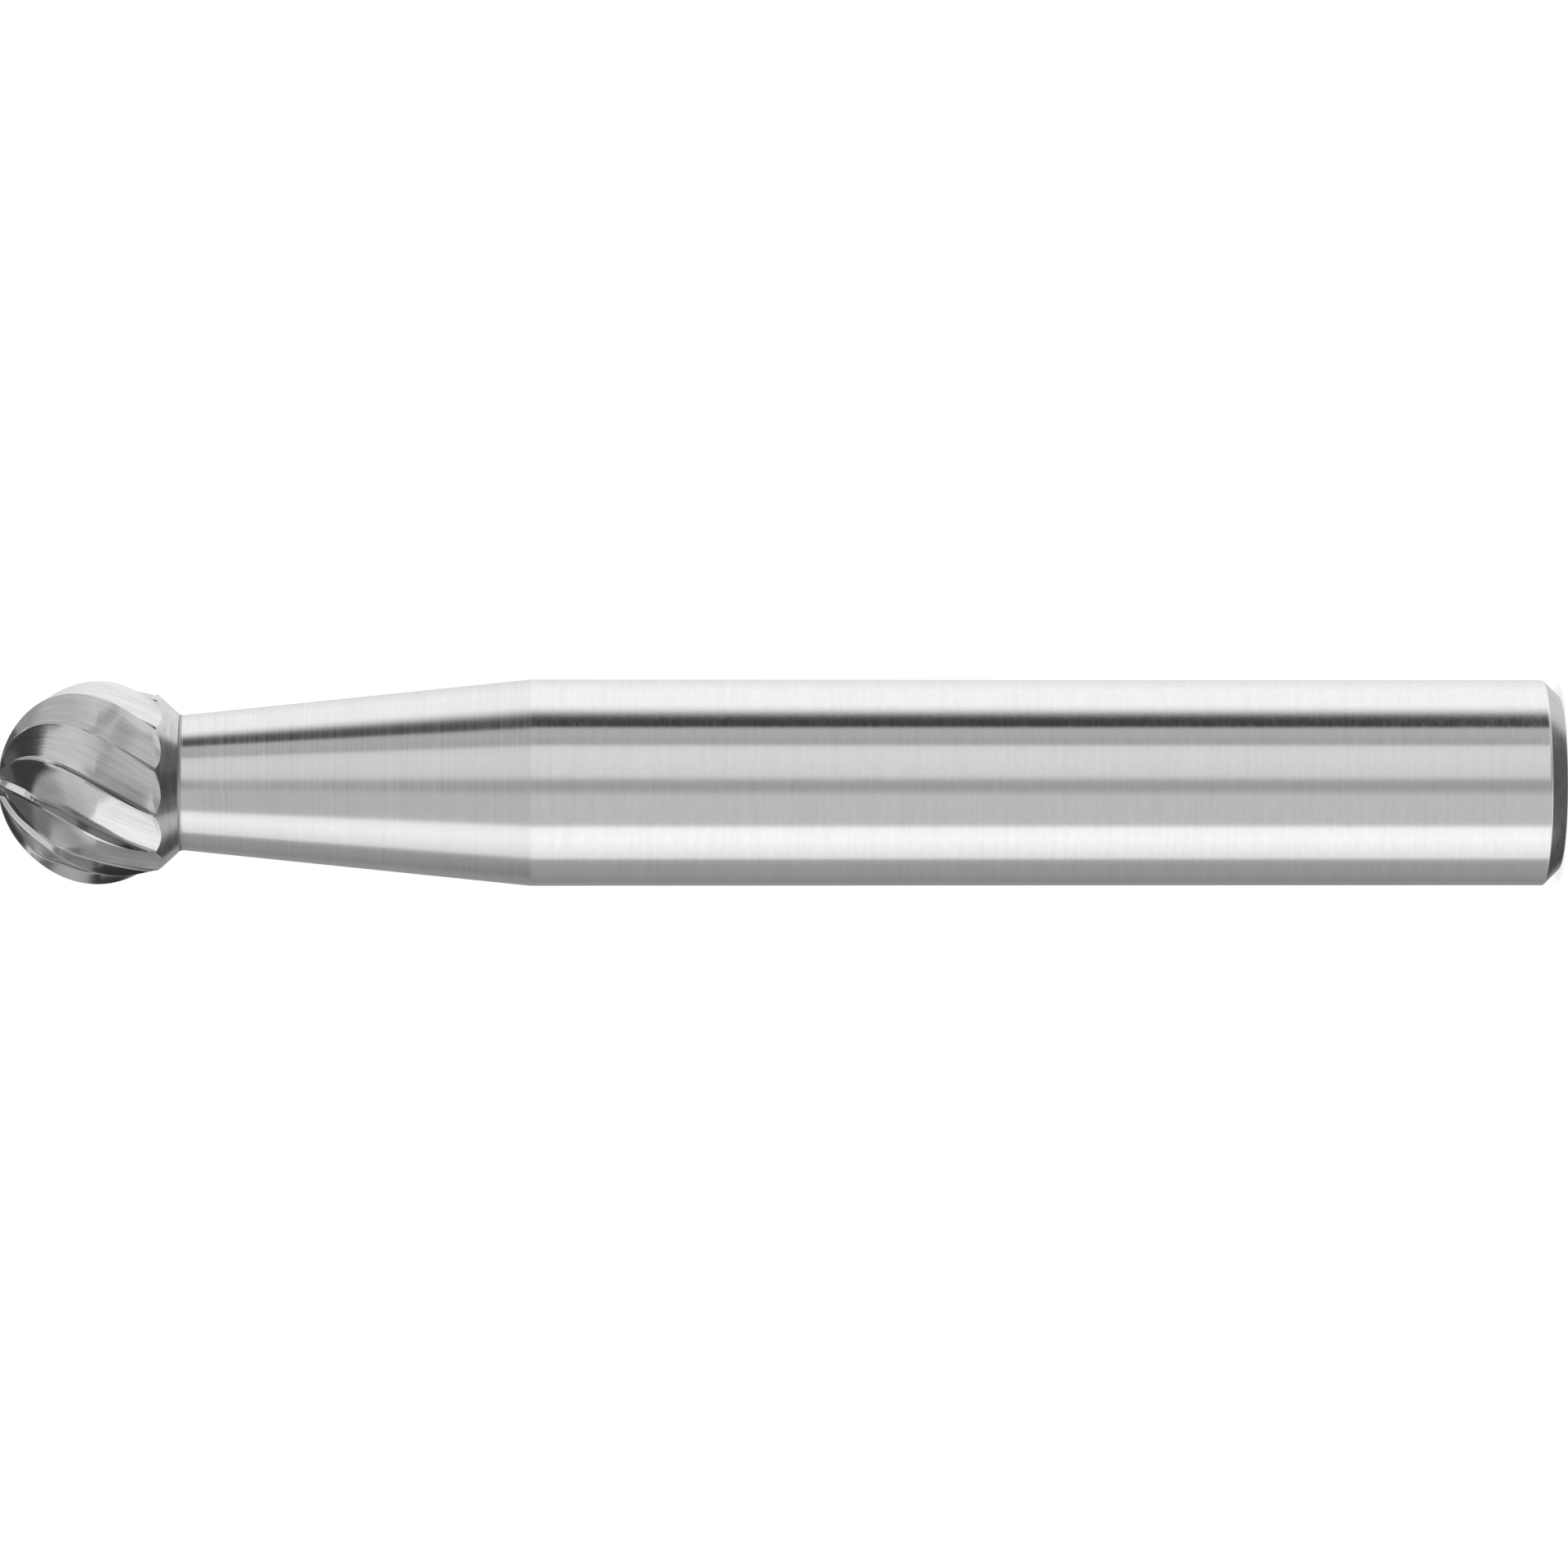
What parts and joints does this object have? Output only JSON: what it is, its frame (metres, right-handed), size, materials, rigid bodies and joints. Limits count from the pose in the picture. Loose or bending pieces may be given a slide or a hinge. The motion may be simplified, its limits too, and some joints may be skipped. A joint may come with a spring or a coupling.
{
  "type": "carbide burr",
  "caption": "Ball-shaped rotary burr: a carbide head with wide right-hand spiral flutes, brazed on a plain round steel shank with a tapered neck.",
  "frame": {"origin": "centre of the shank's end face, on the tool's axis", "axes": "+Z along the axis from the shank's end face to the tip of the ball; +X and +Y across it, with no face of their own"},
  "size_m": [0.006, 0.006, 0.0454],
  "materials": {
    "carbide": "ground tungsten carbide, fine grinding lines along the flutes",
    "shank_steel": "ground hardened steel, fine lines round the shank"
  },
  "bodies": {
    "root": {"carbide_head": "carbide", "steel_shank": "shank_steel"}
  },
  "joints": []
}
